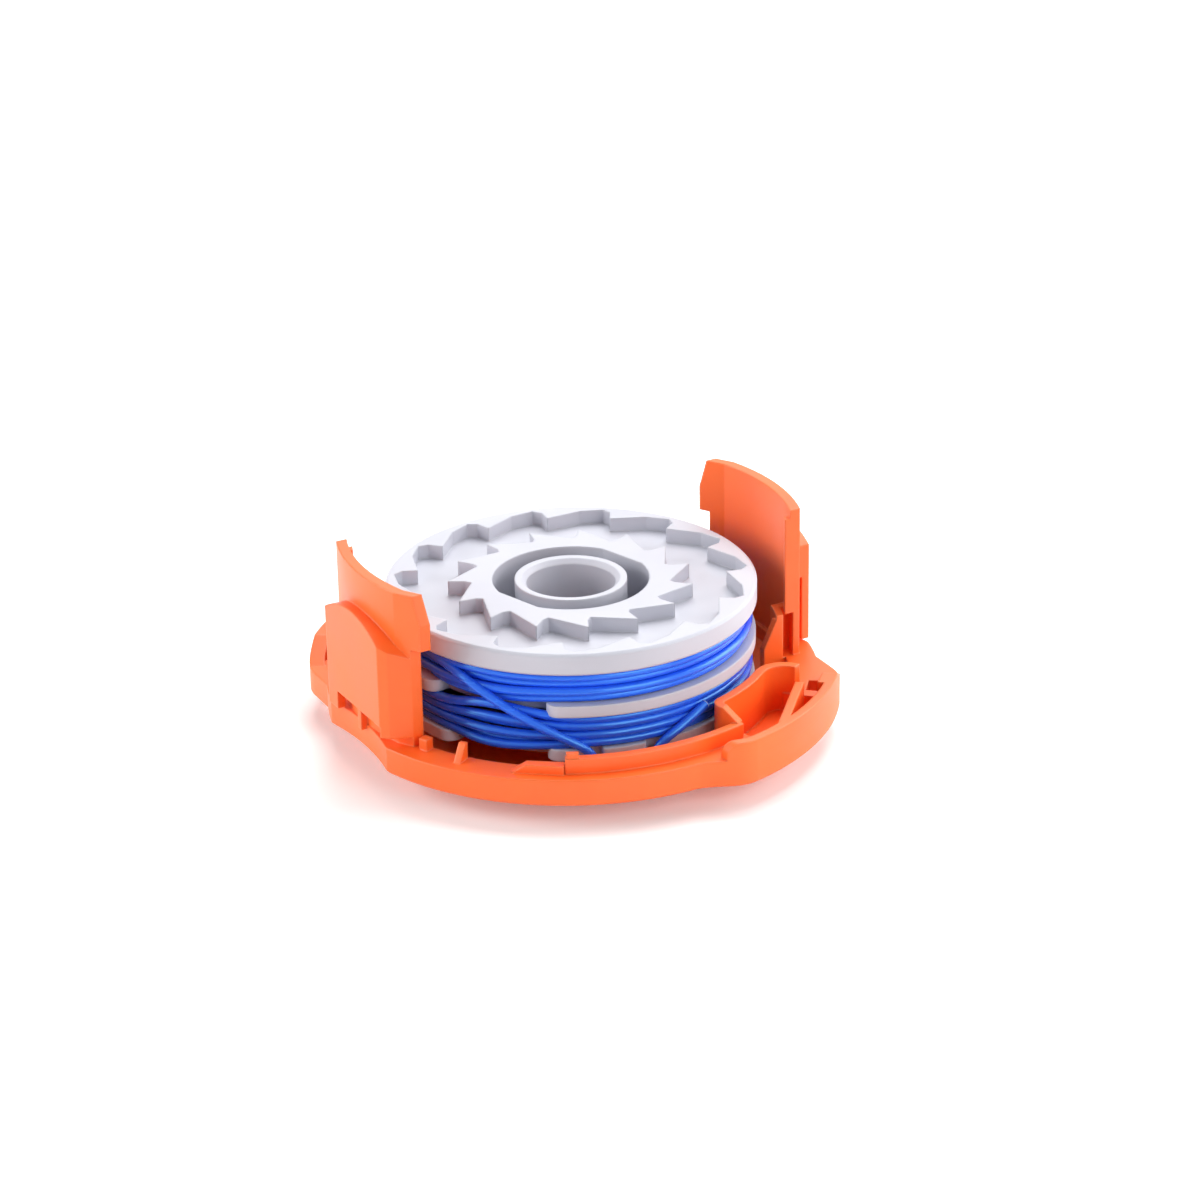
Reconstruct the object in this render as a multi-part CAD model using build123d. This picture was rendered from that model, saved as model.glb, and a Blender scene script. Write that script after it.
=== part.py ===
"""Trimmer line spool lying in the cover that clips it into the machine.

The frame has its origin on the turning axis at the level the cover stands on, +Z up.
The two latches lie on X, and everything on the cover repeats after half a turn.
All lengths are in millimetres and all angles in degrees, counter-clockwise from above.
"""
from build123d import *
from math import cos, radians, sin, sqrt, tan
import os

# Nylon line
line_d = 1.5
turn_sides = 4
tail_sides = 6
upper_turns = 3
lower_turns = 4
winding_gap = 0.05
winding_inset = 1.3
tail_gap = 0.3
bend_share = 0.45

# Spool: flanges, core and hub
spool_r = 31.0
spool_h = 19.1
top_flange_t = 3.8
mid_flange_t = 2.0
low_flange_t = 2.0
upper_chamber_h = 5.4
mid_flange_inset = 0.2
low_flange_inset = 0.4
flange_chamfer = 0.4
core_r = 18.6
core_wall = 2.0
hub_bore_r = 7.45
hub_wall = 1.95
hub_lip_chamfer = 0.8
web_t = 2.0
web_rise = 4.6
pocket_r = 13.1
pocket_wall = 1.6
pocket_flat = 12.3
pocket_flat_angle = 17.0
spoke_angle = -30.0
spoke_w = 1.6
spoke_drop = 4.5

# Spool: the two ratchet rings in the top face
tooth_count = 15
recess_depth = 2.5
rim_wall = 1.3
outer_tooth_depth = 3.7
outer_tooth_shoulder = 1.0
outer_tooth_phase = -1.4
outer_tooth_slope = 20.0
outer_tooth_half = 12.0
outer_tooth_foot = 1.1
outer_tooth_rake = 1.2
ring_root_r = 16.6
inner_tooth_depth = 3.9
inner_tooth_phase = 9.8
inner_tooth_slope = 21.0
inner_tooth_foot = 1.0
inner_tooth_rake = 0.7

# Spool: gaps and notches that the line ends are threaded through
mid_gap_start = -165.7
mid_gap_end = -126.8
low_gap_start = -159.0
low_gap_end = -126.7
gap_depth = 3.4
gap_edge_round = 2.2
notch_first = -111.6
notch_second = -93.0
notch_w = 2.4
notch_depth = 2.2
notch_edge_round = 0.7

# Cover: dish, rim and the seat that the spool turns on
base_r = 26.0
floor_t = 2.2
skirt_low_z = 4.0
skirt_chamfer = 0.5
ledge_z = 8.7
spool_gap = 5.3
rim_w = 5.1
seat_z = 6.7
seat_w = 2.2
spigot_h = 2.4
spigot_w = 1.6
spool_fit = 0.08
groove_start = 20.0
groove_end = 86.0

# Cover: side outline, with a lobe and a scallop under the push pad on each side
lobe_reach = 3.6
lobe_foot_angle = -88.5
lobe_corner_angle = -80.0
lobe_end_angle = -32.5
lobe_back_angle = -23.0
lobe_round = 6.0
lobe_end_round = 9.0
scallop_y = 10.5
scallop_depth = 2.4
scallop_round = 1.0

# Cover: lobe walls and pocket
wall = 1.5
lobe_top_z = 11.8
lobe_start_angle = -83.6
lobe_end_block = 2.6
lobe_block_angle = -46.0
lobe_nose_round = 2.2
band_end_angle = -33.0
band_end_run = 6.0
pocket_floor_z = 5.6
pocket_start = -71.0
pocket_end = -45.0
outlet_start = -42.0
outlet_end = -36.5
outlet_w = 2.6
rib_start_r = 39.6
rib_start_angle = -47.2
rib_end_angle = -68.6

# Cover: guide wall and upstand that lead the line past the lobe
guide_gap = 1.4
guide_top_z = 13.6
guide_start = -71.5
guide_end = -50.0
guide_turn = 2.2
guide_tail_r = 38.6
guide_tail_angle = -43.7
apex_r = 37.9
apex_angle = -72.8
upstand_start = -120.3
upstand_start_r = 38.4
upstand_mid_r = 37.9
upstand_top_z = 11.3
tab_inset = 0.2
tab_w = 2.0
tab_t = 1.1
tab_h = 0.8

# Cover: small features on the open stretch of the ledge
ledge_setback = 0.3
step_start = -133.5
step_end = -120.0
step_setback = 1.2
step_ramp = 2.4
step_h = 1.5
step_w = 1.8
fin_angle = -146.8
fin_t = 1.2
fin_h = 2.8
fin_foot = 3.0
fin_top = 1.0
post_angle = -157.7
post_t = 1.6
post_h = 2.0
post_w = 1.9

# Cover: latches
latch_setback = 0.7
latch_wall = 1.8
latch_top_z = 35.3
latch_near_y = -13.7
latch_bend_y = 10.0
flat_y = 12.5
ear_y = 14.2
ear_h = 9.4
ear_lean = 2.5
ear_slant = 1.2
ear_slant_h = 5.0
pad_reach = 1.9
pad_skin = 1.4
pad_near_y = -9.6
pad_far_y = 9.8
pad_bevel = 1.2
pad_low_z = 12.2
pad_foot_w = 3.4
pad_foot_gap = 0.3
pad_end_z = 26.3
pad_rise = 2.8
pad_open_z = 20.6
pad_cap = 1.6
end_wall_gap = 1.6
web_y = 0.6
web_w = 1.2
root_top_z = 16.6
root_w = 4.2
root_rib = 1.2
root_depth = 4.5
edge_rib = 0.9
edge_rib_t = 1.3
edge_rib_drop = 1.5
gusset_t = 1.3
gusset_drop = 0.8
gusset_foot_z = 10.9

# Sizes that follow from the driving dimensions
bowl_r = spool_r + spool_gap
rim_r = bowl_r + rim_w
lobe_r = rim_r + lobe_reach
dish_slope = skirt_low_z / (bowl_r + wall - base_r)
guide_r = spool_r + guide_gap
guide_low_z = (floor_t + (guide_r - base_r + wall) * dish_slope + skirt_low_z) / 2
latch_r_in = bowl_r + latch_setback
latch_r = latch_r_in + latch_wall
arm_mid_r = latch_r_in + latch_wall / 2
pad_x = latch_r + pad_reach
spool_top = seat_z + spool_h
recess_floor = spool_top - recess_depth
core_r_in = core_r - core_wall
hub_r = hub_bore_r + hub_wall
web_low = seat_z + web_rise
web_top = web_low + web_t
upper_chamber_top = spool_top - top_flange_t
upper_chamber_low = upper_chamber_top - upper_chamber_h
lower_chamber_top = upper_chamber_low - mid_flange_t
lower_chamber_low = seat_z + low_flange_t
mid_flange_r = spool_r - mid_flange_inset
low_flange_r = spool_r - low_flange_inset
line_r = line_d / 2
turn_r = spool_r - winding_inset - line_r
far = latch_top_z * 2


def polar(radius, angle, z=0):
    """Point at a radius, an angle and a height."""
    return Vector(radius * cos(radians(angle)), radius * sin(radians(angle)), z)


def sector(r_in, r_out, start, end):
    """Plan face of a ring between two radii and two angles."""
    outer = CenterArc((0, 0), r_out, start, end - start)
    inner = CenterArc((0, 0), r_in, start, end - start)
    return make_face([outer, inner, Line(inner @ 0, outer @ 0), Line(inner @ 1, outer @ 1)])


def strip(x_low, x_high, y_low, y_high):
    """Rectangle between two pairs of edges."""
    return Pos((x_low + x_high) / 2, (y_low + y_high) / 2) * Rectangle(x_high - x_low, y_high - y_low)


def ring(r_in, r_out):
    """Plan face between two circles."""
    return Circle(r_out) - Circle(r_in)


def slab(face, low_z, high_z):
    """A plan face raised between two heights."""
    return extrude(Pos(0, 0, low_z) * face, high_z - low_z, dir=(0, 0, 1))


def radial_plate(corners, angle, thickness):
    """Upright plate in the plane through the axis at an angle, from (radius, height) corners."""
    plane = Plane((0, 0, 0), x_dir=polar(1, angle), z_dir=polar(1, angle - 90))
    return extrude(plane * make_face(Polyline(*corners, close=True)), thickness / 2, both=True)


def both_sides(shape):
    """A feature and its copy half a turn round the axis."""
    return shape + Rot(0, 0, 180) * shape


def round_corner(face, point, radius):
    """Flat face with the corner nearest to a point rounded."""
    return fillet(face.vertices().sort_by_distance(Vector(*point))[0], radius)


def cut_corner(face, point, length):
    """Flat face with the corner nearest to a point chamfered."""
    return chamfer(face.vertices().sort_by_distance(Vector(*point))[0], length)


def cover_outline():
    """Plan of the cover: the round rim with a lobe and a latch scallop on each side."""
    foot = polar(rim_r, lobe_foot_angle)
    corner = polar(lobe_r, lobe_corner_angle)
    end = polar(lobe_r, lobe_end_angle)
    back = polar(rim_r, lobe_back_angle)
    lobe = make_face([
        Polyline((0, 0), foot, corner),
        CenterArc((0, 0), lobe_r, lobe_corner_angle, lobe_end_angle - lobe_corner_angle),
        Polyline(end, back, (0, 0)),
    ])
    scallop_x = sqrt(rim_r**2 - scallop_y**2)
    near = Vector(scallop_x, -scallop_y)
    beyond = Vector(scallop_x, scallop_y)
    scallop = make_face([
        ThreePointArc(near, (rim_r - scallop_depth, 0), beyond),
        Polyline(beyond, (lobe_r, scallop_y), (lobe_r, -scallop_y), near),
    ])
    outline = Circle(rim_r) + both_sides(lobe) - both_sides(scallop)
    for point, radius in ((foot, lobe_round), (corner, lobe_round), (end, lobe_end_round),
                          (near, scallop_round), (beyond, scallop_round)):
        outline = round_corner(outline, point, radius)
        outline = round_corner(outline, point * -1, radius)
    return outline


def dish(outline):
    """Round bowl with the seat ring, and the skirted rim plate round its mouth."""
    plate = slab(outline, skirt_low_z, ledge_z)
    plate = chamfer(plate.faces().sort_by(Axis.Z)[0].edges(), skirt_chamfer)
    groove = sector(bowl_r + wall, rim_r - wall, groove_start, groove_end)
    plate -= both_sides(slab(groove, 0, ledge_z - wall))
    section = Polyline(
        (0, 0), (base_r, 0), (bowl_r + wall, skirt_low_z), (bowl_r + wall, ledge_z), (bowl_r, ledge_z),
        (bowl_r, skirt_low_z + floor_t), (base_r - wall, floor_t), (0, floor_t), close=True)
    bowl = revolve(Plane.XZ * make_face(section), Axis.Z)
    spigot_r = core_r_in - spool_fit
    seat = slab(ring(spigot_r - spigot_w, core_r_in + seat_w), floor_t, seat_z)
    spigot = slab(ring(spigot_r - spigot_w, spigot_r), floor_t, seat_z + spigot_h)
    return plate - slab(Circle(bowl_r), 0, far) + bowl + seat + spigot


def outer_wall(outline):
    """Wall along the outer edge of one lobe, thicker at its far end and rounded at its near end."""
    edge = outline - offset(outline, -wall)
    block = outline - offset(outline, -lobe_end_block)
    band = slab(edge & sector(bowl_r, far, lobe_start_angle, band_end_angle), ledge_z, lobe_top_z)
    band += slab(block & sector(rim_r, far, lobe_block_angle, band_end_angle), ledge_z, lobe_top_z)
    near = Plane((0, 0, 0), x_dir=polar(1, lobe_start_angle + 90), z_dir=polar(1, lobe_start_angle))
    nose = round_corner(strip(0, far, 0, lobe_top_z), (0, lobe_top_z), lobe_nose_round)
    end = Plane((0, 0, 0), x_dir=polar(1, band_end_angle - 90), z_dir=polar(-1, band_end_angle))
    slope = make_face(Polyline(
        (0, 0), (far, 0), (far, lobe_top_z), (band_end_run, lobe_top_z), (0, ledge_z), close=True))
    return band & extrude(near * nose, far) & extrude(end * slope, -far)


def guide_wall():
    """Wall that leads the line past the lobe: tail, arc round the spool, turn and slope to the apex."""
    along = CenterArc((0, 0), guide_r + wall / 2, guide_start, guide_end - guide_start)
    apex = polar(apex_r, apex_angle)
    corner = along @ 0 - (along % 0) * guide_turn
    out = (apex - corner).normalized()
    turn_end = corner + out * guide_turn
    turn = TangentArc(along @ 0, turn_end, tangent=(along % 0) * -1)
    tail = TangentArc(along @ 1, polar(guide_tail_r, guide_tail_angle), tangent=along % 1)
    body = slab(trace([turn, along, tail], wall), guide_low_z, guide_top_z)
    slope = Plane(turn_end, x_dir=out, z_dir=out.rotate(Axis.Z, -90))
    run = (apex - turn_end).length
    side = make_face(Polyline(
        (0, guide_low_z), (run, guide_low_z), (run, upstand_top_z), (0, guide_top_z), close=True))
    return body + extrude(slope * side, wall / 2, both=True)


def upstand():
    """Low wall on the ledge from the guide's apex to a small tab at the front."""
    start = polar(upstand_start_r, upstand_start)
    middle = polar(upstand_mid_r, (upstand_start + apex_angle) / 2)
    line = ThreePointArc(start, middle, polar(apex_r, apex_angle))
    body = slab(trace(line, wall), ledge_z - wall / 2, upstand_top_z)
    tab = Line(line @ (tab_inset / line.length), line @ ((tab_inset + tab_w) / line.length))
    return body + slab(trace(tab, tab_t), ledge_z, upstand_top_z + tab_h)


def lobe_walls(outline):
    """Outer wall, guide wall, rib and upstand that stand on one side of the dish."""
    rib_start = polar(rib_start_r, rib_start_angle)
    rib_end = polar(lobe_r - wall / 2, rib_end_angle)
    rib = slab(trace(Line(rib_start, rib_end), wall), guide_low_z, lobe_top_z)
    return outer_wall(outline) + guide_wall() + rib + upstand()


def lobe_pocket(outline):
    """Space inside one lobe, with the outlet through the floor beside it."""
    inside = offset(outline, -wall) - Circle(guide_r + wall / 2)
    pocket = slab(inside & sector(guide_r, far, pocket_start, pocket_end), pocket_floor_z, far)
    outlet_r = lobe_r - lobe_end_block
    outlet = sector(outlet_r - outlet_w, outlet_r, outlet_start, outlet_end)
    return pocket + slab(outlet, 0, far)


def ledge_features():
    """Ramped step, fin and post on the open stretch of one ledge."""
    low = ledge_z - wall / 2
    inner = bowl_r + ledge_setback
    mid = (step_start + step_end) / 2
    half = radians(step_end - step_start) / 2 * bowl_r
    plane = Plane(polar(bowl_r + step_setback, mid), x_dir=polar(1, mid + 90), z_dir=polar(1, mid))
    side = make_face(Polyline(
        (-half, low), (half, low), (half, ledge_z + step_h), (-half + step_ramp, ledge_z + step_h),
        (-half, ledge_z), close=True))
    step = extrude(plane * side, step_w)
    fin = radial_plate(
        [(inner, low), (bowl_r + fin_foot, low), (bowl_r + fin_foot, ledge_z),
         (bowl_r + fin_top, ledge_z + fin_h), (inner, ledge_z + fin_h)], fin_angle, fin_t)
    post = radial_plate(
        [(inner, low), (bowl_r + post_w, low), (bowl_r + post_w, ledge_z + post_h),
         (inner, ledge_z + post_h)], post_angle, post_t)
    return step + fin + post


def push_pad():
    """Arched pad outside one latch arm, cored from below, with its bevel and end wall."""
    bend_out = sqrt(latch_r**2 - latch_bend_y**2)
    flat_x = bend_out - ear_lean * (flat_y - latch_bend_y) / (ear_y - latch_bend_y)
    plan = make_face(Polyline(
        (0, pad_near_y), (pad_x, pad_near_y), (pad_x, pad_far_y),
        (pad_x - pad_bevel, pad_far_y + pad_bevel), (flat_x, flat_y), (0, flat_y), close=True))
    plan = plan - Circle(arm_mid_r) - strip(0, flat_x - latch_wall / 2, latch_bend_y, flat_y)
    arch_half = (pad_far_y - pad_near_y) / 2
    arch_r = (arch_half**2 + pad_rise**2) / (2 * pad_rise)
    arch = Pos((pad_far_y + pad_near_y) / 2, pad_end_z + pad_rise - arch_r) * Circle(arch_r)
    front = arch & strip(pad_near_y, flat_y, pad_low_z, far)
    pad = slab(plan, pad_low_z, far) & extrude(Plane.YZ * front, far, dir=(1, 0, 0))
    pad += slab(plan & strip(0, far, pad_far_y, flat_y), ledge_z + end_wall_gap, pad_low_z + wall)
    core = strip(0, pad_x - pad_skin, pad_near_y - wall, pad_far_y)
    pad -= slab(core, 0, pad_open_z)
    foot = strip(pad_x - pad_skin, pad_x, pad_near_y, pad_near_y + pad_foot_w)
    pad += slab(foot, ledge_z + pad_foot_gap, pad_low_z + wall)
    closed = core & strip(0, far, pad_near_y + pad_skin, pad_far_y)
    return pad - slab(closed, 0, pad_end_z - pad_cap)


def latch_arm():
    """Curved arm of one latch with the flat ear at its far end."""
    curve = ring(latch_r_in, latch_r) & strip(0, far, latch_near_y, latch_bend_y)
    arm = slab(curve, pocket_floor_z, latch_top_z)
    bend_out = sqrt(latch_r**2 - latch_bend_y**2)
    bend_in = sqrt(latch_r_in**2 - latch_bend_y**2)
    flat_plan = make_face(Polyline(
        (bend_in, latch_bend_y), (bend_out, latch_bend_y),
        (bend_out - ear_lean, ear_y), (bend_in - ear_lean, ear_y), close=True))
    slant = make_face(Polyline(
        (ear_y - ear_slant, latch_top_z), (ear_y, latch_top_z - ear_slant_h), (ear_y, latch_top_z),
        close=True))
    ear = slab(flat_plan, latch_top_z - ear_h, latch_top_z) - extrude(Plane.YZ * slant, far, dir=(1, 0, 0))
    flat = slab(flat_plan & strip(0, far, latch_bend_y, flat_y), pocket_floor_z, latch_top_z)
    return arm + ear + flat


def latch_root():
    """Web under the pad, and the channelled root, edge rib and gusset at the near end of one latch."""
    web = strip(arm_mid_r, pad_x - pad_skin / 2, web_y - web_w / 2, web_y + web_w / 2)
    root = slab(web, ledge_z - wall / 2, pad_low_z + wall)
    root_in = latch_r - root_w
    near = strip(0, far, latch_near_y, latch_near_y + root_depth)
    root += slab(ring(root_in, arm_mid_r) & near, guide_low_z, root_top_z)
    edge = ring(latch_r_in - edge_rib, arm_mid_r) & strip(0, far, latch_near_y, latch_near_y + edge_rib_t)
    root += slab(edge, root_top_z, latch_top_z - edge_rib_drop)
    top_z = root_top_z - gusset_drop
    top_x = sqrt(root_in**2 - latch_near_y**2)
    foot_x = sqrt(guide_r**2 - latch_near_y**2)
    gusset = make_face(Polyline(
        (top_x, top_z), (foot_x, gusset_foot_z), (foot_x, guide_low_z), (top_x + root_rib, guide_low_z),
        (top_x + root_rib, top_z), close=True))
    return root + extrude(Plane.XZ.offset(-latch_near_y) * gusset, gusset_t, dir=(0, 1, 0))


def latch():
    """One sprung latch, with the groove down its root."""
    groove = ring(latch_r - root_w + root_rib, latch_r - root_rib)
    groove = groove & strip(0, far, latch_near_y, latch_near_y + root_depth - wall)
    return latch_arm() + push_pad() + latch_root() - slab(groove, ledge_z, root_top_z)


def spool_cover():
    """The orange moulding: dish, lobes and latches in one piece."""
    outline = cover_outline()
    body = dish(outline) - both_sides(lobe_pocket(outline))
    body += both_sides(lobe_walls(outline) + ledge_features())
    body += both_sides(latch())
    return body


def ratchet(tooth):
    """Plan face of a ring of teeth, from the (radius, angle) corners of one tooth."""
    pitch = 360 / tooth_count
    corners = [polar(r, a + pitch * k) for k in range(tooth_count) for r, a in tooth]
    return make_face(Polyline(*corners, close=True))


def outer_teeth():
    """Hole with the inward teeth of the rim."""
    root = spool_r - rim_wall
    return ratchet([
        (root, outer_tooth_phase - outer_tooth_slope),
        (root - outer_tooth_shoulder, outer_tooth_phase - outer_tooth_half),
        (root - outer_tooth_depth, outer_tooth_phase),
        (root - outer_tooth_foot, outer_tooth_phase + outer_tooth_rake)])


def inner_teeth():
    """Outward teeth of the ring round the hub."""
    tip = ring_root_r + inner_tooth_depth
    return ratchet([
        (ring_root_r, inner_tooth_phase - inner_tooth_slope), (tip, inner_tooth_phase),
        (ring_root_r + inner_tooth_foot, inner_tooth_phase + inner_tooth_rake)])


def gapped_flange(radius, start, end):
    """Plan face of a flange with a wide gap in its edge on each side, rounded where it opens."""
    gap = sector(radius - gap_depth, radius + gap_depth, start, end)
    face = ring(core_r - core_wall / 2, radius) - both_sides(gap)
    for turn in (0, 180):
        for angle in (start + turn, end + turn):
            face = round_corner(face, polar(radius, angle), gap_edge_round)
    return face


def notched(face):
    """The lower flange's plan face with its two round-bottomed notches on each side."""
    bottom = low_flange_r - notch_depth + notch_w / 2
    slot = strip(bottom, spool_r + notch_w, -notch_w / 2, notch_w / 2) + Pos(bottom, 0) * Circle(notch_w / 2)
    for angle in (notch_first, notch_second, notch_first + 180, notch_second + 180):
        face = face - Rot(0, 0, angle) * slot
        for side in (-notch_w / 2, notch_w / 2):
            edge = Vector(sqrt(low_flange_r**2 - side**2), side).rotate(Axis.Z, angle)
            face = round_corner(face, edge, notch_edge_round)
    return face


def spool_section():
    """Half section of the hub, core and top flange before the teeth, as radius and height."""
    pocket_out = pocket_r + pocket_wall
    groove_top = recess_floor - web_t
    rim_in = spool_r - rim_wall
    face = make_face(Polyline(
        (hub_bore_r, seat_z), (hub_r, seat_z), (hub_r, web_low), (pocket_out, web_low),
        (pocket_out, groove_top), (core_r_in, groove_top), (core_r_in, seat_z), (core_r, seat_z),
        (core_r, upper_chamber_top), (spool_r, upper_chamber_top), (spool_r, spool_top), (rim_in, spool_top),
        (rim_in, recess_floor), (pocket_r, recess_floor), (pocket_r, web_top), (hub_r, web_top),
        (hub_r, spool_top), (hub_bore_r, spool_top), close=True))
    for z in (upper_chamber_top, spool_top):
        face = cut_corner(face, (spool_r, z), flange_chamfer)
    return cut_corner(face, (hub_bore_r, spool_top), hub_lip_chamfer)


def spool():
    """The grey moulding: hub, core and three flanges, with ratchet rings in its top."""
    body = revolve(Plane.XZ * spool_section(), Axis.Z)
    flats = Rot(0, 0, pocket_flat_angle) * Rectangle(pocket_flat * 2, pocket_r * 2)
    body += slab(Circle(pocket_r) - flats, web_top, spool_top)
    body += slab(Circle(spool_r - rim_wall / 2) - outer_teeth(), recess_floor, spool_top)
    body += slab(inner_teeth() - Circle(pocket_r), recess_floor, spool_top)
    spoke = strip(hub_r - hub_wall / 2, pocket_r + pocket_wall / 2, -spoke_w / 2, spoke_w / 2)
    body += both_sides(slab(Rot(0, 0, spoke_angle) * spoke, web_low, spool_top - spoke_drop))
    middle = gapped_flange(mid_flange_r, mid_gap_start, mid_gap_end)
    lower = notched(gapped_flange(low_flange_r, low_gap_start, low_gap_end))
    body += slab(middle, lower_chamber_top, upper_chamber_low)
    return body + slab(lower, seat_z, lower_chamber_low)


def winding(low_z, high_z, turns):
    """Wound line in one chamber: a ring whose outside shows the turns."""
    first = low_z + winding_gap + line_r
    pitch = (high_z - low_z - line_d - winding_gap * 2) / (turns - 1)
    section = strip(core_r + winding_gap, turn_r, low_z + winding_gap, high_z - winding_gap)
    for k in range(turns):
        section += Pos(turn_r, first + pitch * k) * RegularPolygon(line_r, turn_sides)
    return revolve(Plane.XZ * section, Axis.Z)


def tail(route):
    """Line end along a route of (angle, radius, height) points."""
    points = [polar(r, a, z) for a, r, z in route]
    radii = []
    for before, here, after in zip(points, points[1:], points[2:]):
        half_turn = (here - before).get_angle(after - here) / 2
        shorter = min((here - before).length, (after - here).length)
        radii.append(bend_share * shorter / tan(radians(half_turn)))
    print("tail radii", [round(r, 1) for r in radii])
    path = FilletPolyline(*points, radius=radii)
    profile = Plane(path @ 0, z_dir=path % 0) * RegularPolygon(line_r, tail_sides)
    tube = sweep(profile, path=path)
    print("tail volume", round(tube.volume, 2), "section times length", round(profile.area * path.length, 2))
    return tube


def parked_end(turn):
    """Route of a line end down one notch, under the flange and up the next."""
    under = seat_z - line_r - tail_gap
    over = lower_chamber_low + line_r + tail_gap
    return [
        (turn + notch_first - 0.9, spool_r - 0.2, over + 0.2),
        (turn + notch_first - 0.1, low_flange_r - 0.7, under),
        (turn + notch_second + 0.1, low_flange_r - 0.7, under),
        (turn + notch_second + 0.9, spool_r - 0.2, over + 0.2),
        (turn + notch_second + 8, spool_r, over + 0.9),
        (turn + notch_second + 18.5, spool_r + 0.1, over + 2.4),
    ]


def upper_line():
    """Line of the upper chamber, with its end parked at the front."""
    top_turn = upper_chamber_top - winding_gap - line_r
    route = [
        (-171, turn_r, top_turn), (-159, turn_r + 0.8, top_turn - 0.7), (-148, spool_r - 0.5, top_turn - 2.8),
        (-135, spool_r, top_turn - 6.2), (-123, spool_r, top_turn - 9.4)]
    return winding(upper_chamber_low, upper_chamber_top, upper_turns) + tail(route + parked_end(0))


def lower_line():
    """Line of the lower chamber, with its end parked at the back."""
    top_turn = lower_chamber_top - winding_gap - line_r
    route = [(18, turn_r, top_turn), (32, turn_r + 0.7, top_turn - 0.1), (46, spool_r - 0.4, top_turn - 1),
             (58, spool_r, top_turn - 2.2)]
    return winding(lower_chamber_low, lower_chamber_top, lower_turns) + tail(route + parked_end(180))


os.makedirs("parts", exist_ok=True)
for name, make in (("spool_cover", spool_cover), ("spool", spool), ("upper_line", upper_line),
                   ("lower_line", lower_line)):
    solid = make()
    export_step(solid, os.path.join("parts", name + ".step"))
    print(name, len(solid.solids()), round(solid.volume, 1))
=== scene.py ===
"""Looks of a trimmer line spool in its cover: orange and grey mouldings and wound blue nylon line.

Lengths are in metres, apart from the winding levels, fans and line ends, which are in millimetres.
Angles are in degrees, counter-clockwise from above.
"""
from math import cos, pi, radians, sin

import bmesh
import bpy
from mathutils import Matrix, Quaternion, Vector


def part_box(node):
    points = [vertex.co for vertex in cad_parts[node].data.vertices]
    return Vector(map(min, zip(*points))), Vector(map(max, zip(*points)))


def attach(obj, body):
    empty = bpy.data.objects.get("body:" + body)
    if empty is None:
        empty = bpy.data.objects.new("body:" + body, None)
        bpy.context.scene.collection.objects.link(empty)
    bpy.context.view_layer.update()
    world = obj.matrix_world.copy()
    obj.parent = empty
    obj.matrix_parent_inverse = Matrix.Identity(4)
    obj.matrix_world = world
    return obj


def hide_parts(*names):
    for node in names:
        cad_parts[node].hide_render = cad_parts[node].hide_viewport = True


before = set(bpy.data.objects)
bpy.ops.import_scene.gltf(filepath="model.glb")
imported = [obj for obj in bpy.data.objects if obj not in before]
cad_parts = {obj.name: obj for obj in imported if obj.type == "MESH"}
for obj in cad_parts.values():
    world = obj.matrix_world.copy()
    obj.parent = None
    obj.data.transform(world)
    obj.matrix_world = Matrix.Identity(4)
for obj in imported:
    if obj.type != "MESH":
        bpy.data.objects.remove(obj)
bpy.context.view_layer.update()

MM = 0.001
FULL_TURN = 360.0

# Camera, as the photograph was taken
VIEW_AZIMUTH = -28.0
VIEW_ELEVATION = 23.57
VIEW_DISTANCE = 0.62
VIEW_ROLL = -1.2
LENS = 111.6
SENSOR = 36.0
PHOTO_SIDE = 1200
TOP_CENTRE_PIXEL = (570.8, 577.3)

# Surround and floor
WHITE = (1, 1, 1, 1)
WORLD_FILL = 0.18
FLOOR_HALF = 3.0
FLOOR_COLOUR = (0.94, 0.94, 0.94, 1)
FLOOR_GLOW = 0.12

# Soft boxes, as (name, azimuth from the camera's, elevation, side, power in watts)
LIGHT_DISTANCE = 0.6
SOFT_BOXES = (
    ("back_box", 160, 60, 0.5, 4.4),
    ("left_box", -85, 20, 0.4, 3.2),
    ("right_box", 40, 24, 0.4, 1.8),
    ("rim_box", 105, 20, 0.4, 2.2),
)

# Colours: deep and plain ones for the mottling, and a pale one for the painted highlight along the
# edges of a moulding
ORANGE = ((0.9, 0.12, 0.012), (0.94, 0.145, 0.018), (1.0, 0.3, 0.1))
GREY = ((0.48, 0.485, 0.545), (0.52, 0.525, 0.585), (0.66, 0.665, 0.72))
BLUE = ((0.017, 0.1, 0.76), (0.024, 0.13, 0.86))
# The cut faces of the line are a paler blue: a painted highlight
CUT_HIGHLIGHT_BLUE = ((0.2, 0.3, 0.72), (0.42, 0.5, 0.85))

# Surfaces, with noise scales per metre
NOISE_LOW = 0.3
NOISE_HIGH = 0.7
BUMP_DEPTH = 0.05 * MM

# Moulded plastic
ORANGE_ROUGHNESS = 0.4
GREY_ROUGHNESS = 0.42
SMOOTHER = 0.05
ROUGHER = 0.06
PLASTIC_GRAIN = 0.1
PLASTIC_IOR = 1.48
FLOW_SCALE = 70
SPECK_SCALE = 1400
SPECK_SHARE = 0.6
DRAWN_SCALE = 800
DRAWN_SHARE = 0.4
DRAWN_STRETCH = (1, 1, 0.03)
# Rounded edges: the bevel's radius and samples, and the facing range over which the pale colour is
# mixed in as a painted highlight, up to the share on the last line
EDGE_RADIUS = 0.45 * MM
EDGE_SAMPLES = 6
EDGE_FLAT = 0.99
EDGE_TURNED = 0.75
EDGE_HIGHLIGHT = 0.5

# Parting line of the cover, which fades out on faces that lean
SEAM_Z = 8.7 * MM
SEAM_HALF = 0.12 * MM
SEAM_DEPTH = 6
SEAM_UPRIGHT = 0.2
SEAM_LEANING = 0.5

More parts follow.
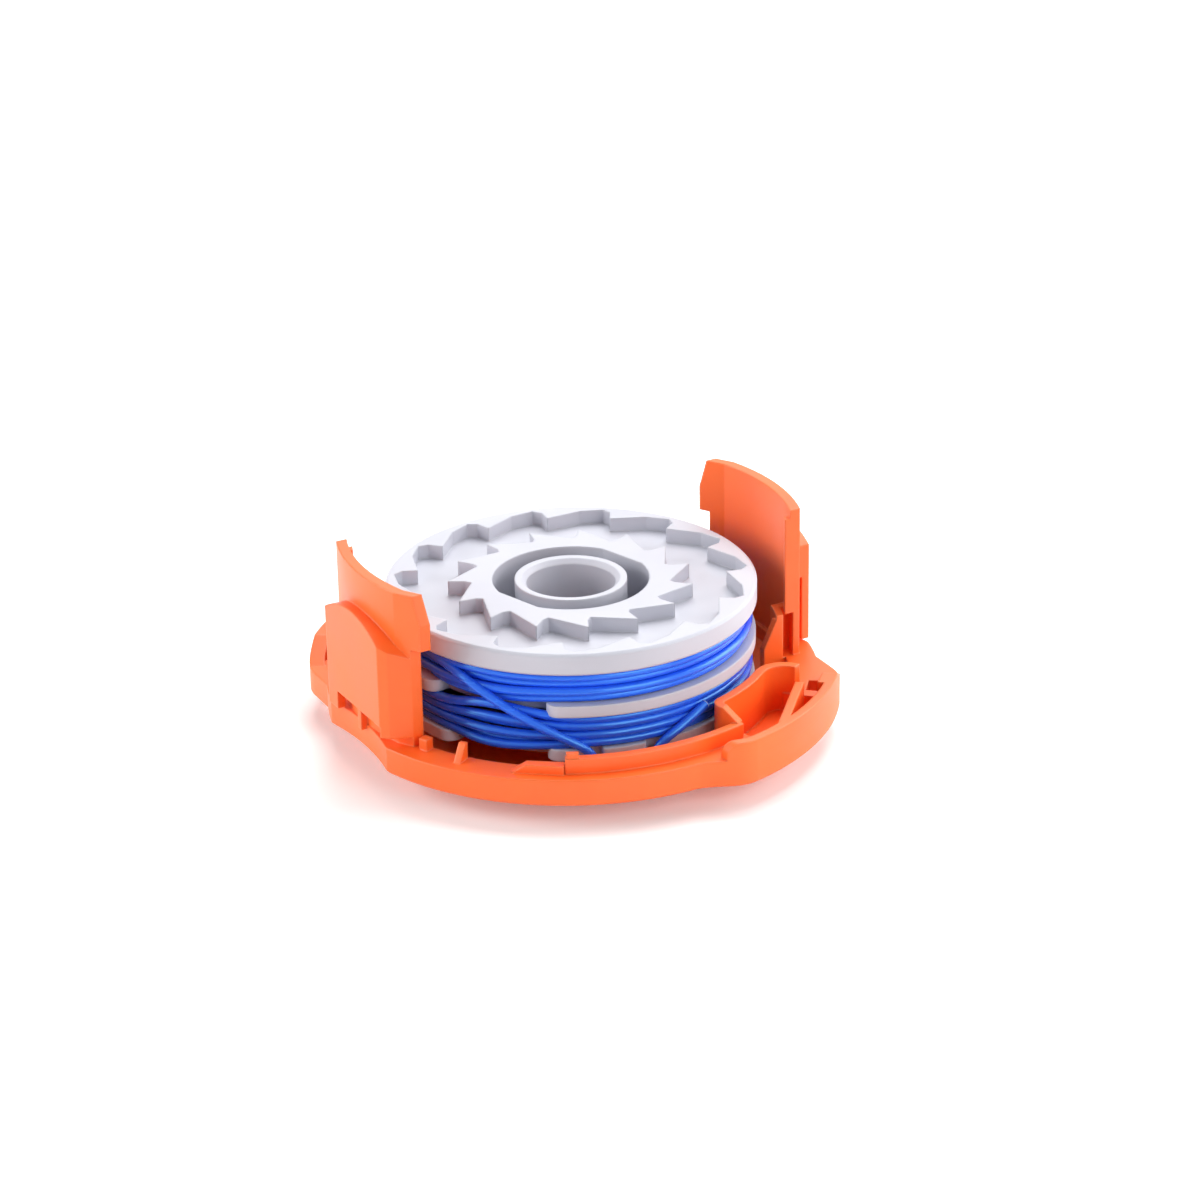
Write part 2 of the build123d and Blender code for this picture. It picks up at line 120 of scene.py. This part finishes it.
# Nylon
STREAK_SCALE = 1800
STREAK_PER_RADIAN = 0.7 * MM
NYLON_GRAIN = 0.015
NYLON_ROUGHNESS = (0.2, 0.3)
NYLON_IOR = 1.53
NYLON_SPECULAR = 1.0
NYLON_TINT = (0.28, 0.78, 1.0, 1)
NYLON_DEPTH_WEIGHT = 0.15
NYLON_DEPTH_RADIUS = (0.2, 0.4, 1.0)
NYLON_DEPTH = 0.4 * MM

# Winding: every second turn of the outer layer lies further in by the stagger
LINE_R = 0.75 * MM
TURN_R = 29.5 * MM
LAYER_STEP = 1.25 * MM
UPPER_STAGGER = 0.7 * MM
LOWER_STAGGER = UPPER_STAGGER / 4
POINTS_PER_TURN = 24
LEVEL_STEP_ANGLE = 60.0
SWAY = 0.12 * MM
SWAYS_PER_TURN = 2.3
SWAY_RISE = 0.6
TUBE_ROUNDING = 5
TUBE_STEPS = 4

# Heights of the outer turns, in millimetres
UPPER_LEVELS = (17.4, 18.65, 19.95, 21.2)
LOWER_LEVELS = (9.5, 10.95, 12.35, 13.75)

# Fans, as the millimetres that the top turn rises and the bottom turn falls at the flange gap
GAP_MIDDLE = -144.5
GAP_HALF = 18.0
GAP_RAMP = 10.0
UPPER_FAN = (0.0, 0.6)
LOWER_FAN = (2.0, 1.3)

# Line ends, as (angle, radius, height) in degrees and millimetres
UPPER_TAIL = (
    (-171, 29.5, 21.2), (-159, 30.2, 20.5), (-148, 30.9, 18.4), (-135, 31.3, 15),
    (-123, 31.4, 11.8), (-114, 31.4, 9.3), (-110.6, 30.2, 5.65), (-93.8, 30.2, 5.65),
    (-91, 31.4, 8.8), (-83, 31.3, 10.7), (-74.5, 31.1, 12.7),
)
LOWER_TAIL = (
    (18, 29.5, 13.8), (32, 30.1, 13.7), (46, 30.9, 12.8), (58, 31.3, 11.6),
    (66, 31.4, 9.3), (69.4, 30.2, 5.65), (86.2, 30.2, 5.65), (89, 31.4, 8.8),
    (97, 31.3, 10.7), (105.5, 31.1, 12.7),
)

# Cut faces of the line: shares of its radius, and numbers of facets
CUT_SPREAD = 1.04
CUT_DOME = 0.35
CUT_BELOW = -0.01
CUT_SEGMENTS = 20
CUT_RINGS = 12


def direction(azimuth, elevation):
    """Unit vector from the object towards a viewer; azimuth 0 looks along +Y."""
    a = radians(azimuth)
    e = radians(elevation)
    return Vector((sin(a) * cos(e), -cos(a) * cos(e), sin(e)))


def polar(angle, radius, height):
    """Point at an angle, a radius and a height."""
    return Vector((radius * cos(radians(angle)), radius * sin(radians(angle)), height))


def tail_points(tail):
    """Points of a line end in metres."""
    return [polar(angle, radius * MM, height * MM) for angle, radius, height in tail]


def link_new(name, data):
    """New object of some data in the scene."""
    made = bpy.data.objects.new(name, data)
    bpy.context.scene.collection.objects.link(made)
    return made


def node(tree, kind, inputs=None, **settings):
    """Shader node with its settings, and each input set to a value or linked to a socket."""
    made = tree.nodes.new("ShaderNode" + kind)
    for name, value in settings.items():
        setattr(made, name, value)
    for name, value in (inputs or {}).items():
        if isinstance(value, bpy.types.NodeSocket):
            tree.links.new(value, made.inputs[name])
        else:
            made.inputs[name].default_value = value
    return made


def ramp(tree, factor, *stops):
    """Colour ramp over a factor, from (position, colour) stops."""
    made = node(tree, "ValToRGB", {"Fac": factor})
    elements = made.color_ramp.elements
    while len(elements) < len(stops):
        elements.new(0.5)
    for element, (position, colour) in zip(elements, stops):
        element.position = position
        element.color = (*colour, 1)
    return made.outputs["Color"]


def calc(tree, operation, first, second=0.0):
    """Arithmetic on two values or sockets."""
    return node(tree, "Math", {0: first, 1: second}, operation=operation).outputs["Value"]


def map_range(tree, value, low, high, to_low, to_high):
    """A value moved from one range to another."""
    inputs = {"Value": value, "From Min": low, "From Max": high, "To Min": to_low, "To Max": to_high}
    return node(tree, "MapRange", inputs).outputs["Result"]


def noise(tree, coords, scale, detail, stretch=(1, 1, 1)):
    """Noise at a scale per metre, with its coordinates stretched per axis."""
    mapped = node(tree, "Mapping", {"Vector": coords, "Scale": stretch}).outputs["Vector"]
    made = node(tree, "TexNoise", {"Vector": mapped, "Scale": scale, "Detail": detail})
    return made.outputs["Fac"]


def new_material(name):
    """Empty node material and its tree."""
    made = bpy.data.materials.new(name)
    made.use_nodes = True
    made.node_tree.nodes.clear()
    return made, made.node_tree


def finish_material(tree, shader):
    """Ends a tree with its surface output."""
    node(tree, "OutputMaterial", {"Surface": shader})


def seam_mask(tree, coords, normal):
    """One along the fine parting line that runs round the upright faces at the seam's height."""
    height = node(tree, "SeparateXYZ", {"Vector": coords}).outputs["Z"]
    off = calc(tree, "ABSOLUTE", calc(tree, "SUBTRACT", height, SEAM_Z))
    tilt = calc(tree, "ABSOLUTE", node(tree, "SeparateXYZ", {"Vector": normal}).outputs["Z"])
    line = map_range(tree, off, 0, SEAM_HALF, 1, 0)
    upright = map_range(tree, tilt, SEAM_UPRIGHT, SEAM_LEANING, 1, 0)
    return calc(tree, "MULTIPLY", line, upright)


def moulded_plastic(name, colours, roughness, seam):
    """Moulded plastic: faint flow mottling, fine grain, draw marks, a painted highlight of pale colour
    along the edges, and a parting line.
    """
    deep, plain, pale = colours
    material, tree = new_material(name)
    coords = node(tree, "TexCoord").outputs["Object"]
    flow = noise(tree, coords, FLOW_SCALE, 3)
    speck = noise(tree, coords, SPECK_SCALE, 2)
    drawn = noise(tree, coords, DRAWN_SCALE, 3, DRAWN_STRETCH)

    soft = node(tree, "Bevel", {"Radius": EDGE_RADIUS}, samples=EDGE_SAMPLES).outputs["Normal"]
    true = node(tree, "NewGeometry").outputs["Normal"]
    facing = node(tree, "VectorMath", {0: soft, 1: true}, operation="DOT_PRODUCT").outputs["Value"]
    # Painted highlight: where the bevel turns the normal, the colour is mixed towards the pale one
    edge = map_range(tree, facing, EDGE_FLAT, EDGE_TURNED, 0, EDGE_HIGHLIGHT)
    base = ramp(tree, flow, (NOISE_LOW, deep), (NOISE_HIGH, plain))
    highlighted = node(tree, "Mix", {0: edge, 6: base, 7: (*pale, 1)}, data_type="RGBA").outputs[2]

    specks = calc(tree, "MULTIPLY", speck, SPECK_SHARE)
    marks = calc(tree, "MULTIPLY", drawn, DRAWN_SHARE)
    parting = calc(tree, "MULTIPLY", seam_mask(tree, coords, true), seam)
    height = calc(tree, "SUBTRACT", calc(tree, "ADD", specks, marks), parting)
    bump = node(tree, "Bump", {
        "Strength": PLASTIC_GRAIN, "Distance": BUMP_DEPTH, "Height": height, "Normal": soft})

    shine = map_range(tree, flow, NOISE_LOW, NOISE_HIGH, roughness - SMOOTHER, roughness + ROUGHER)
    shader = node(tree, "BsdfPrincipled", {
        "Base Color": highlighted, "Roughness": shine, "Normal": bump.outputs["Normal"],
        "IOR": PLASTIC_IOR})
    finish_material(tree, shader.outputs["BSDF"])
    return material


def nylon(name, colours):
    """Extruded nylon: streaks along the turns under a smooth glossy skin."""
    deep, plain = colours
    material, tree = new_material(name)
    coords = node(tree, "TexCoord").outputs["Object"]
    split = node(tree, "SeparateXYZ", {"Vector": coords}).outputs
    x_squared = calc(tree, "POWER", split["X"], 2.0)
    y_squared = calc(tree, "POWER", split["Y"], 2.0)
    radius = calc(tree, "SQRT", calc(tree, "ADD", x_squared, y_squared))
    angle = calc(tree, "ARCTAN2", split["Y"], split["X"])
    turn = calc(tree, "MULTIPLY", angle, STREAK_PER_RADIAN)
    along = node(tree, "CombineXYZ", {"X": radius, "Y": turn, "Z": split["Z"]}).outputs["Vector"]
    streak = noise(tree, along, STREAK_SCALE, 3)

    base = ramp(tree, streak, (NOISE_LOW, deep), (NOISE_HIGH, plain))
    bump = node(tree, "Bump", {
        "Strength": NYLON_GRAIN, "Distance": BUMP_DEPTH, "Height": streak})
    shine = map_range(tree, streak, NOISE_LOW, NOISE_HIGH, *NYLON_ROUGHNESS)
    shader = node(tree, "BsdfPrincipled", {
        "Base Color": base, "Roughness": shine, "Normal": bump.outputs["Normal"],
        "IOR": NYLON_IOR, "Specular IOR Level": NYLON_SPECULAR, "Specular Tint": NYLON_TINT,
        "Subsurface Weight": NYLON_DEPTH_WEIGHT, "Subsurface Radius": NYLON_DEPTH_RADIUS,
        "Subsurface Scale": NYLON_DEPTH})
    finish_material(tree, shader.outputs["BSDF"])
    return material


def seen_directly(tree):
    """One for camera, glossy and transmission rays, and zero for the rest."""
    path = node(tree, "LightPath").outputs
    seen = calc(tree, "ADD", path["Is Camera Ray"], path["Is Glossy Ray"])
    inputs = {0: seen, 1: path["Is Transmission Ray"]}
    return node(tree, "Math", inputs, operation="ADD", use_clamp=True).outputs["Value"]


def set_world():
    """White studio surround that lights the object softly."""
    world = bpy.data.worlds.new("studio")
    world.use_nodes = True
    tree = world.node_tree
    tree.nodes.clear()
    strength = map_range(tree, seen_directly(tree), 0, 1, WORLD_FILL, 1)
    surround = node(tree, "Background", {"Color": WHITE, "Strength": strength})
    node(tree, "OutputWorld", {"Surface": surround.outputs["Background"]})
    bpy.context.scene.world = world


def add_floor():
    """Pale floor that keeps the object's shadow."""
    mesh = bpy.data.meshes.new("floor")
    h = FLOOR_HALF
    mesh.from_pydata([(-h, -h, 0), (h, -h, 0), (h, h, 0), (-h, h, 0)], [], [(0, 1, 2, 3)])
    floor = link_new("floor", mesh)
    material, tree = new_material("floor_white")
    matte = node(tree, "BsdfDiffuse", {"Color": FLOOR_COLOUR})
    strength = calc(tree, "MULTIPLY", seen_directly(tree), FLOOR_GLOW)
    glow = node(tree, "Emission", {"Strength": strength})
    both = node(tree, "AddShader", {0: matte.outputs["BSDF"], 1: glow.outputs["Emission"]})
    finish_material(tree, both.outputs["Shader"])
    mesh.materials.append(material)


def add_light(name, azimuth, elevation, side, power):
    """Square soft box that faces the object; its azimuth is taken from the camera's."""
    data = bpy.data.lights.new(name, "AREA")
    data.size = side
    data.energy = power
    lamp = link_new(name, data)
    towards = direction(VIEW_AZIMUTH + azimuth, elevation)
    lamp.location = towards * LIGHT_DISTANCE
    lamp.rotation_mode = "QUATERNION"
    lamp.rotation_quaternion = towards.to_track_quat("Z", "Y")


def set_camera():
    """Camera at the photograph's angle, aimed at the middle of the spool's top."""
    data = bpy.data.cameras.new("camera")
    data.lens = LENS
    data.sensor_width = SENSOR
    half = PHOTO_SIDE / 2
    data.shift_x = (half - TOP_CENTRE_PIXEL[0]) / PHOTO_SIDE
    data.shift_y = (TOP_CENTRE_PIXEL[1] - half) / PHOTO_SIDE
    camera = link_new("camera", data)
    towards = direction(VIEW_AZIMUTH, VIEW_ELEVATION)
    roll = Quaternion((0, 0, 1), radians(VIEW_ROLL))
    camera.location = Vector((0, 0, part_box("spool")[1].z)) + towards * VIEW_DISTANCE
    camera.rotation_mode = "QUATERNION"
    camera.rotation_quaternion = towards.to_track_quat("Z", "Y") @ roll
    bpy.context.scene.camera = camera


def smooth(t):
    """Smooth step from 0 to 1."""
    t = min(max(t, 0.0), 1.0)
    return t * t * (3 - 2 * t)


def gap_spread(angle, share, fan):
    """Height that a turn gains by its share of the stack, where the flange gaps let turns fan out."""
    rise, fall = fan
    off = abs((angle - GAP_MIDDLE + FULL_TURN / 2) % FULL_TURN - FULL_TURN / 2)
    return ((rise + fall) * share - fall) * smooth((GAP_HALF - off) / GAP_RAMP)


def wound_points(levels, radius, stagger, fan, last_angle):
    """Points of one layer of turns that ends at an angle, each turn stepping up at its end."""
    points = []
    step = FULL_TURN / POINTS_PER_TURN
    first_angle = last_angle - FULL_TURN * len(levels)
    spread = 1 / cos(pi / POINTS_PER_TURN)
    last = len(levels) - 1
    for k in range(POINTS_PER_TURN * len(levels)):
        turn = k // POINTS_PER_TURN
        after = min(turn + 1, last)
        angle = first_angle + step * k
        past_step = step * (k % POINTS_PER_TURN) - FULL_TURN + LEVEL_STEP_ANGLE
        share = smooth(past_step / LEVEL_STEP_ANGLE)
        height = levels[turn] + (levels[after] - levels[turn]) * share
        height += gap_spread(angle, turn / last, fan)
        depth = stagger * ((last - turn) % 2 * (1 - share) + (last - after) % 2 * share)
        sway = SWAY * sin(radians(SWAYS_PER_TURN * angle) + turn)
        points.append(polar(angle, (radius - depth + sway) * spread, height * MM + sway * SWAY_RISE))
    return points


def wound_line(name, levels, stagger, fan, tail, material):
    """Line wound in two layers with its end threaded along a tail, as one tube."""
    last_angle = tail[0][0]
    between = [(a + b) / 2 for a, b in zip(levels, levels[1:])]
    points = wound_points(between, TURN_R - LAYER_STEP - stagger, 0, fan, last_angle)
    points += wound_points(levels, TURN_R, stagger, fan, last_angle)
    points += tail_points(tail)
    curve = bpy.data.curves.new(name, "CURVE")
    curve.dimensions = "3D"
    curve.bevel_depth = LINE_R
    curve.bevel_resolution = TUBE_ROUNDING
    curve.resolution_u = TUBE_STEPS
    curve.use_fill_caps = True
    spline = curve.splines.new("NURBS")
    spline.points.add(len(points) - 1)
    for target, point in zip(spline.points, points):
        target.co = (*point, 1)
    spline.order_u = 3
    spline.use_endpoint_u = True
    line = link_new(name, curve)
    curve.materials.append(material)
    return line


def cut_end(name, tail, material):
    """Slightly domed cut face on the end of a line, with its burred edge."""
    before, last = tail_points(tail[-2:])
    mesh = bpy.data.meshes.new(name)
    shape = bmesh.new()
    bmesh.ops.create_uvsphere(
        shape, u_segments=CUT_SEGMENTS, v_segments=CUT_RINGS, radius=LINE_R * CUT_SPREAD)
    below = [v for v in shape.verts if v.co.z < CUT_BELOW * LINE_R]
    bmesh.ops.delete(shape, geom=below, context="VERTS")
    rim = [e for e in shape.edges if e.is_boundary]
    bmesh.ops.contextual_create(shape, geom=rim)
    for v in shape.verts:
        v.co.z *= CUT_DOME
    for f in shape.faces:
        f.smooth = True
    shape.to_mesh(mesh)
    shape.free()
    end = link_new(name, mesh)
    end.rotation_mode = "QUATERNION"
    end.rotation_quaternion = (last - before).to_track_quat("Z", "Y")
    end.location = last
    mesh.materials.append(material)
    return end


def dress_nodes(plastics):
    """Gives CAD nodes their materials."""
    for name, material in plastics.items():
        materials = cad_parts[name].data.materials
        materials.clear()
        materials.append(material)


dress_nodes({
    "spool_cover": moulded_plastic("orange_plastic", ORANGE, ORANGE_ROUGHNESS, SEAM_DEPTH),
    "spool": moulded_plastic("grey_plastic", GREY, GREY_ROUGHNESS, 0),
})

blue = nylon("blue_nylon", BLUE)
# Cut faces of the line in paler blue, as a painted highlight
cut_highlight_blue = nylon("cut_nylon_highlight", CUT_HIGHLIGHT_BLUE)
for side, levels, stagger, fan, tail in (
        ("upper", UPPER_LEVELS, UPPER_STAGGER, UPPER_FAN, UPPER_TAIL),
        ("lower", LOWER_LEVELS, LOWER_STAGGER, LOWER_FAN, LOWER_TAIL)):
    wound = wound_line(side + "_wound_line", levels, stagger, fan, tail, blue)
    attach(wound, "spool")
    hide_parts(side + "_line")
    end = cut_end(side + "_cut_end", tail, cut_highlight_blue)
    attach(end, "spool")

set_world()
add_floor()
for soft_box in SOFT_BOXES:
    add_light(*soft_box)
set_camera()
bpy.context.scene.view_settings.view_transform = "Standard"
